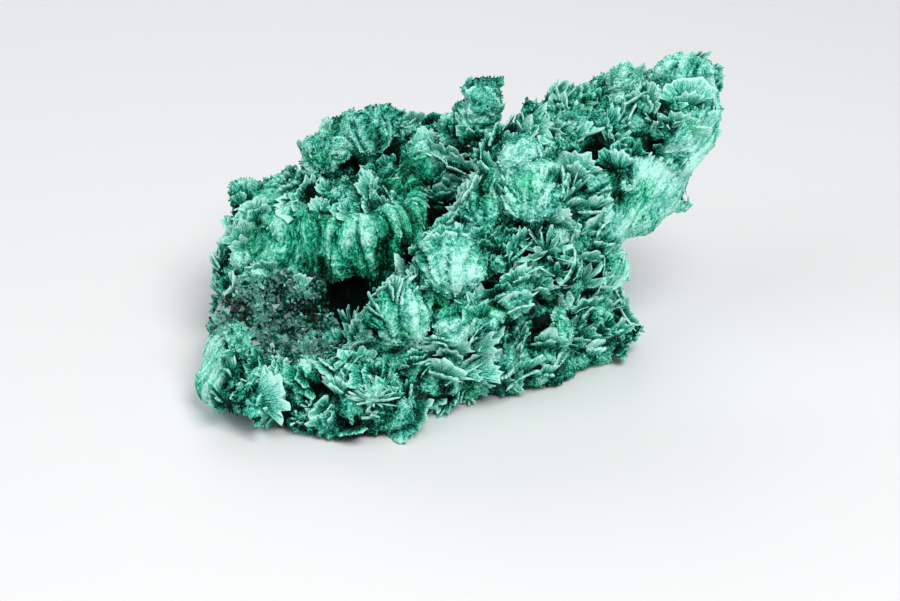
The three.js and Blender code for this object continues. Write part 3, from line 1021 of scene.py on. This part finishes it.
def placed_clusters(ground):
    """The listed clusters, rooted on the skin where the camera sees them."""
    right, up, forward = camera_axes()
    kinds, groups = [], []
    for name, (kind, pixel, angle, radius, open_by, pale) in FEATURES.items():
        point, normal = ground.seen_at(pixel)
        if point is None:
            print("no skin behind", name)
            continue
        out = ground.way_out(point[None], normal[None], 4.0)[0]
        if angle is None:
            lean = out - forward * 0.15 + np.array([0.0, 0.0, 0.25])
            face = np.cross(out, right)
            sink = radius - TUFT_STAND
        else:
            turn = math.radians(angle)
            aim = right * math.cos(turn) + up * math.sin(turn)
            face = 0.3 * out - forward
            sink = PLACED_SINK.get(kind, 0.3)
            leans = [unit(aim + 0.45 * out - tilt * forward) for tilt in TILTS]
            shown = [ground.share_in_view(point - out * sink, lean, face, radius) for lean in leans]
            lean = leans[int(np.argmax(shown))]
        # How open the place is, raised so that the painted shade darkens these clusters less.
        shade = 0.6 + 0.4 * ground.openness(point[None], out[None])
        root = point - out * sink
        radius, open_by, bloom = np.array([[radius], [open_by], [MIDDLE_BLOOM + pale]])
        row = cluster_arrays(root[None], lean[None], face[None], radius, open_by, bloom, shade)
        row["top"] = point[None]
        kinds.append(kind)
        groups.append(row)
    return np.array(kinds, dtype=object), joined(groups)


# Laths: closed, pointed slips of crystal, finer than the plates. Standing up they make the velvet, and
# lying down they make the long fibres of the fluted block, the horn's underside and the left bulge.

LATH_WIDEST = 0.88
LATH_FACES = np.array(
    [(0, 1 + (k + 1) % 4, 1 + k) for k in range(4)] + [(1 + k, 1 + (k + 1) % 4, 5) for k in range(4)]
)
# The share of the skin's points that have one: in the velvet, under the fans, in a pit, and for the fibres
# that lie flat on the block and elsewhere.
NAP_SHARE = 0.75
NAP_SHARE_UNDER_FANS = 0.25
NAP_SHARE_IN_PITS = 0.1
FLAT_SHARE_ON_BLOCK = 0.14
FLAT_SHARE = 0.3
# From and to: how far the nap stands out, how wide it is, and how long and wide the flat fibres are.
NAP_LENGTHS = (0.12, 0.4)
NAP_WIDTHS = (0.26, 0.42)
FLAT_LENGTHS = (1.2, 2.2)
FLAT_WIDTHS = (0.3, 0.5)


def lath_piece(name, roots, tips, side, width, rise, bloom, shade, lush, material):
    """One piece of many laths. Rise says how light each is at its tip, as along does on a plate."""
    span = tips - roots
    axis = unit(span)
    side = unit(side - axis * dot(side, axis))
    front = np.cross(axis, side)
    middle = roots + span * LATH_WIDEST
    broad = side * (width / 2)[:, None]
    thin = front * (width / 3)[:, None]
    rows = [roots, middle + broad, middle + thin, middle - broad, middle - thin, tips]
    places = np.stack(rows, axis=1)
    count = len(places)
    faces = LATH_FACES[None] + len(rows) * np.arange(count)[:, None, None]
    fibre = np.stack([NOISE_APART * np.arange(count), bloom * 7, bloom * 0], axis=1)
    values = {
        "along": (rise[:, None] * np.array([0.4] + [0.9] * 4 + [1.0])).ravel(),
        "bloom": np.repeat(bloom, len(rows)),
        "shade": np.repeat(shade, len(rows)),
        "lush": np.repeat(lush, len(rows)),
        "fibre": np.repeat(fibre, len(rows), axis=0),
    }
    dress(new_object(name, places.reshape(-1, 3), faces.reshape(-1, 3), values), material)
    print(name, count, "laths,", count * len(LATH_FACES), "triangles")


def velvet_nap(skin, tuft_tops, material):
    """A short nap on the lobes of the skin: close in the velvet, and thin under the fans."""
    places, out, area = skin["places"], skin["out"], skin["area"]
    rest = (area == "fluted_block") | is_pelt(places, out) | ((area == "slot") & (skin["along"] < 0.36))
    share = np.where(is_velvet(places, tuft_tops), NAP_SHARE, NAP_SHARE_UNDER_FANS)
    share = np.where(skin["pit"] > 0.5, NAP_SHARE_IN_PITS, share)
    here = (rng.random(len(places)) < share) & ~rest & (places[:, 2] > 0.5)
    places, out = places[here], out[here]
    count = len(places)
    lean = unit(out + 0.25 * along_the_skin(places, out) + 0.35 * scatter(count))
    tips = places + lean * rng.uniform(*NAP_LENGTHS, count)[:, None]
    rise = skin["along"][here] + rng.uniform(-0.1, 0.16, count)
    bloom = skin["bloom"][here] + rng.uniform(-0.1, 0.1, count)
    shade, lush = skin["shade"][here], skin["lush"][here]
    left = places[:, 0] < 0
    for name, part in (("velvet_nap_left", left), ("velvet_nap_right", ~left)):
        width = rng.uniform(*NAP_WIDTHS, part.sum())
        roots = places[part] - out[part] * 0.35
        turns = scatter(part.sum())
        looks = rise[part], bloom[part], shade[part], lush[part]
        lath_piece(name, roots, tips[part], turns, width, *looks, material)


def flowing_fibres(skin, material):
    """Long fibres that lie along the skin, down the flutes, along the horn and over the left bulge."""
    places, out = skin["places"], skin["out"]
    block = skin["area"] == "fluted_block"
    chance = rng.random(len(places))
    here = (block & (chance < FLAT_SHARE_ON_BLOCK)) | (is_pelt(places, out) & (chance < FLAT_SHARE))
    here = here & (places[:, 2] > 0.5)
    places, out, block = places[here], out[here], block[here]
    down_flutes = (places - RIM_CENTRE) * np.array([1.0, 1.3, 0.0]) + [0.0, 0.0, -9.0]
    flow = np.where(block[:, None], down_flutes, PELT_FLOW)
    flow = unit(flow - out * dot(flow, out))
    count = len(places)
    length = rng.uniform(*FLAT_LENGTHS, count)
    lean = unit(flow + 0.05 * scatter(count))
    roots = places - lean * (0.5 * length)[:, None] - out * 0.15
    tips = places + lean * (0.5 * length)[:, None] - out * rng.uniform(0.0, 0.2, count)[:, None]
    bloom = skin["bloom"][here] + rng.uniform(-0.08, 0.12, count)
    width = rng.uniform(*FLAT_WIDTHS, count)
    side = np.cross(lean, out)
    rise = skin["along"][here] + 0.1
    looks = rise, bloom, skin["shade"][here], skin["lush"][here]
    lath_piece("flowing_fibres", roots, tips, side, width, *looks, material)


# Grains: small crystals with eight flat faces.

GRAIN_SHARE = 0.85
GRAIN_SHARE_IN_CREASES = 0.02
GRAIN_SIZES = (0.18, 0.46)
LARGE_GRAIN_SHARE = 0.12
GRAIN_CORNERS = np.array([(1, 0, 0), (-1, 0, 0), (0, 1, 0), (0, -1, 0), (0, 0, 1), (0, 0, -1)], float)
GRAIN_FACES = np.array(
    [(0, 2, 4), (2, 1, 4), (1, 3, 4), (3, 0, 4), (2, 0, 5), (1, 2, 5), (3, 1, 5), (0, 3, 5)]
)


def grain_crust(skin, material):
    """The grains that crust the slot, and a few in the creases elsewhere."""
    points, out = skin["places"], skin["out"]
    slot = inside_ellipsoid(points, *SLOT_CRUST) & (out[:, 2] > -0.3) & (skin["along"] < 0.5)
    chance = rng.random(len(points))
    crease = (skin["shade"] < 0.4) & (skin["pit"] < 0.5) & (chance < GRAIN_SHARE_IN_CREASES)
    wanted = ((slot & (chance < GRAIN_SHARE)) | crease) & (points[:, 2] > 0.5)
    points, out = points[wanted], out[wanted]
    count = len(points)
    long = scatter(count)
    broad = unit(np.cross(long, scatter(count)))
    thin = np.cross(long, broad)
    size = rng.uniform(*GRAIN_SIZES, count)
    size = size * np.where(rng.random(count) < LARGE_GRAIN_SHARE, 1.8, 1.0)
    each = len(GRAIN_CORNERS)
    corners = GRAIN_CORNERS[None] * rng.uniform(0.7, 1.3, (count, each, 1)) * size[:, None, None]
    middle = points + out * (0.5 * size)[:, None]
    basis = np.stack([broad, thin, 1.3 * long], axis=1)
    places = (corners @ basis + middle[:, None]).reshape(-1, 3)
    faces = (GRAIN_FACES[None] + each * np.arange(count)[:, None, None]).reshape(-1, 3)
    bloom = np.repeat(0.4 * rng.random(count) + 0.13 + 0.6 * value_noise(points, 2.4, 33), each)
    dress(new_object("grain_crust", places, faces, {"bloom": bloom}), material)
    print("grain_crust", count, "grains,", len(faces), "triangles")


# Materials

DARK = (0.0002, 0.0035, 0.0018)
DEEP = (0.001, 0.050, 0.029)
GREEN = (0.006, 0.185, 0.117)
BRIGHT = (0.045, 0.400, 0.295)
MINT = (0.200, 0.640, 0.515)
PALE = (0.480, 0.860, 0.770)
GREY = (0.13, 0.255, 0.235)
# The velvet's colours from the foot of a fibre to its tip, where it is plain and where it is a warmer green,
# and how far up each lies.
PLAIN_COLOURS = (DARK, DEEP, GREEN, BRIGHT, MINT, PALE)
LUSH_COLOURS = (
    (0.0, 0.0035, 0.0012),
    (0.0003, 0.055, 0.022),
    (0.002, 0.200, 0.095),
    (0.02, 0.42, 0.235),
    (0.16, 0.65, 0.45),
    PALE,
)
VELVET_STEPS = (0.10, 0.24, 0.39, 0.55, 0.74, 0.97)
VELVET_ROUGHNESS = 0.85
VELVET_SPECULAR = 0.08
VELVET_SHEEN = 0.04
VELVET_SHEEN_ROUGHNESS = 0.4
VELVET_SHEEN_TINT = (0.4, 1.0, 0.8, 1)
# Waves per metre of the velvet's specks, patches and lush places, and how much each moves the colour.
SPECK_WAVES = 4000.0
PATCH_WAVES = 130.0
LUSH_WAVES = 210.0
STREAK_AMOUNT = 1.15
SPECK_AMOUNT = 0.9
PATCH_AMOUNT = 0.6
LUSH_AMOUNT = 6.0
BUMP_DISTANCE = 0.22 * MM
GRAIN_COLOURS = (DARK, DEEP, GREEN, GREY, GREY, BRIGHT, MINT)
GRAIN_STEPS = (0.42, 0.54, 0.64, 0.72, 0.82, 0.90, 1.0)
GRAIN_WAVES = 2200.0
GRAIN_ROUGHNESS = 0.35
GRAIN_SPECULAR = 0.5


def new_material(name):
    material = bpy.data.materials.new(name)
    material.use_nodes = True
    tree = material.node_tree
    shader = tree.nodes["Principled BSDF"]
    return material, tree, shader


def add_node(tree, kind, inputs=None, **settings):
    node = tree.nodes.new(kind)
    for key, value in settings.items():
        setattr(node, key, value)
    for key, value in (inputs or {}).items():
        if isinstance(value, bpy.types.NodeSocket):
            tree.links.new(value, node.inputs[key])
        else:
            node.inputs[key].default_value = value
    return node


def math_node(tree, operation, a, b=0.0, clamp=False):
    node = add_node(tree, "ShaderNodeMath", {0: a, 1: b}, operation=operation, use_clamp=clamp)
    return node.outputs[0]


def attribute(tree, name, output="Fac"):
    return add_node(tree, "ShaderNodeAttribute", attribute_name=name).outputs[output]


def noise(tree, scale, detail, place=None):
    """Noise over the whole specimen, with scale in waves per metre, or over the given places."""
    if place is None:
        place = add_node(tree, "ShaderNodeTexCoord").outputs["Object"]
    inputs = {"Vector": place, "Scale": scale, "Detail": detail}
    return add_node(tree, "ShaderNodeTexNoise", inputs).outputs["Fac"]


def ramp(tree, value, steps, colours):
    node = add_node(tree, "ShaderNodeValToRGB", {0: value})
    elements = node.color_ramp.elements
    while len(elements) < len(steps):
        elements.new(0.5)
    for element, step, colour in zip(elements, steps, colours):
        element.position = step
        element.color = (*colour, 1)
    return node.outputs[0]


def blend_colours(tree, amount, first, second):
    inputs = {"Factor": amount, 6: first, 7: second}
    node = add_node(tree, "ShaderNodeMix", inputs, data_type="RGBA", clamp_factor=True)
    return node.outputs[2]


def velvet_material():
    """Silky fibres: dark at the root and pale mint at the tip, with painted shade that darkens closed
    places.
    """
    material, tree, shader = new_material("velvet_fibres")
    along = attribute(tree, "along")
    bloom = attribute(tree, "bloom")
    shade = attribute(tree, "shade")
    streak = noise(tree, 1.0, 3.0, attribute(tree, "fibre", "Vector"))
    speck = noise(tree, SPECK_WAVES, 3.0)
    patch = noise(tree, PATCH_WAVES, 2.0)

    def vary(height, pattern, amount):
        change = math_node(tree, "MULTIPLY", math_node(tree, "SUBTRACT", pattern, 0.5), amount)
        return math_node(tree, "ADD", height, change)

    rim = math_node(tree, "MULTIPLY", math_node(tree, "POWER", along, 12.0), 0.24)
    height = math_node(tree, "ADD", math_node(tree, "MULTIPLY", along, 0.68), rim)
    height = math_node(tree, "ADD", height, math_node(tree, "SUBTRACT", bloom, 0.33))
    height = vary(height, streak, STREAK_AMOUNT)
    height = vary(height, speck, SPECK_AMOUNT)
    height = vary(height, patch, PATCH_AMOUNT)
    # Painted shade: the less sky a place sees, the darker its colour is drawn.
    closed = math_node(tree, "POWER", math_node(tree, "SUBTRACT", 1.0, shade), 2.0)
    painted_shade = math_node(tree, "MULTIPLY", closed, 0.95)
    height = math_node(tree, "SUBTRACT", height, painted_shade, clamp=True)
    lush = math_node(tree, "SUBTRACT", noise(tree, LUSH_WAVES, 3.0), 0.53)
    lush = math_node(tree, "MULTIPLY", lush, LUSH_AMOUNT, clamp=True)
    lush = math_node(tree, "MAXIMUM", lush, attribute(tree, "lush"))
    plain_colour = ramp(tree, height, VELVET_STEPS, PLAIN_COLOURS)
    lush_colour = ramp(tree, height, VELVET_STEPS, LUSH_COLOURS)
    colour = blend_colours(tree, lush, plain_colour, lush_colour)
    colour = blend_colours(tree, attribute(tree, "grey"), colour, (*GREY, 1))
    tree.links.new(colour, shader.inputs["Base Color"])
    shader.inputs["Roughness"].default_value = VELVET_ROUGHNESS
    shader.inputs["Specular IOR Level"].default_value = VELVET_SPECULAR
    shader.inputs["Sheen Weight"].default_value = VELVET_SHEEN
    shader.inputs["Sheen Roughness"].default_value = VELVET_SHEEN_ROUGHNESS
    shader.inputs["Sheen Tint"].default_value = VELVET_SHEEN_TINT
    bumps = math_node(tree, "ADD", streak, math_node(tree, "MULTIPLY", speck, 0.7))
    inputs = {"Height": bumps, "Strength": 0.8, "Distance": BUMP_DISTANCE}
    bump = add_node(tree, "ShaderNodeBump", inputs)
    tree.links.new(bump.outputs[0], shader.inputs["Normal"])
    return material


def grain_material():
    """Grains from dark green over grey to mint, that glint."""
    material, tree, shader = new_material("grey_grains")
    speck = noise(tree, GRAIN_WAVES, 2.0)
    mixed = math_node(tree, "ADD", math_node(tree, "MULTIPLY", attribute(tree, "bloom"), 0.6), speck)
    tree.links.new(ramp(tree, mixed, GRAIN_STEPS, GRAIN_COLOURS), shader.inputs["Base Color"])
    shader.inputs["Roughness"].default_value = GRAIN_ROUGHNESS
    shader.inputs["Specular IOR Level"].default_value = GRAIN_SPECULAR
    return material


# The stage

FLOOR_SIZE = 3.0
FLOOR_COLOUR = (0.80, 0.80, 0.805, 1)
FLOOR_ROUGHNESS = 0.6
SKY_COLOUR = (0.9, 0.93, 0.95, 1)
SKY_STRENGTH = 0.28
# For each light: its place and the side of its square in metres, and its power in watts.
LIGHTS = {
    "key_light": ((0.2, -0.4, 0.58), 0.35, 4.7),
    "left_fill": ((-0.5, -0.3, 0.45), 0.5, 1.4),
    "back_fill": ((-0.15, 0.55, 0.4), 0.5, 1.1),
}
LIT_PLACE = Vector((0, 0, 0.02))


def add_floor():
    bpy.ops.mesh.primitive_plane_add(size=FLOOR_SIZE, location=(0, 0, 0))
    floor = bpy.context.object
    floor.name = "floor"
    material, tree, shader = new_material("pale_floor")
    shader.inputs["Base Color"].default_value = FLOOR_COLOUR
    shader.inputs["Roughness"].default_value = FLOOR_ROUGHNESS
    floor.data.materials.append(material)


def add_light(name, place, size, power):
    data = bpy.data.lights.new(name, "AREA")
    data.shape = "SQUARE"
    data.size = size
    data.energy = power
    light = bpy.data.objects.new(name, data)
    bpy.context.scene.collection.objects.link(light)
    light.location = place
    light.rotation_mode = "QUATERNION"
    light.rotation_quaternion = (LIT_PLACE - Vector(place)).to_track_quat("-Z", "Y")


def add_world():
    world = bpy.data.worlds.new("studio")
    bpy.context.scene.world = world
    world.use_nodes = True
    background = world.node_tree.nodes["Background"]
    background.inputs[0].default_value = SKY_COLOUR
    background.inputs[1].default_value = SKY_STRENGTH


# The whole scene

add_camera()
coarse, _ = softened_skin("coarse_skin", COARSE_VOXEL, COARSE_SMOOTHING)
ground = Ground(coarse)
bpy.data.objects.remove(coarse)
velvet = velvet_material()
placed_kinds, placed = placed_clusters(ground)
is_tuft = placed_kinds == "tuft"
tufts = chosen(placed, is_tuft)
body, skin = lobed_skin(ground, tufts, velvet)
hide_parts(NODE)
field_kinds, field, area = field_clusters(ground, placed, tufts["top"])
grow_piece("placed_clusters", placed_kinds[~is_tuft], chosen(placed, ~is_tuft), velvet, ground, NO_LIMIT)
velvet_nap(skin, tufts["top"], velvet)
flowing_fibres(skin, velvet)
grain_crust(skin, grain_material())
for name in MIXES:
    here = area == name
    grow_piece(name + "_growth", field_kinds[here], chosen(field, here), velvet, ground, HIGHEST)

bpy.context.scene.view_settings.view_transform = "Standard"
add_floor()
for name, (place, size, power) in LIGHTS.items():
    add_light(name, place, size, power)
add_world()
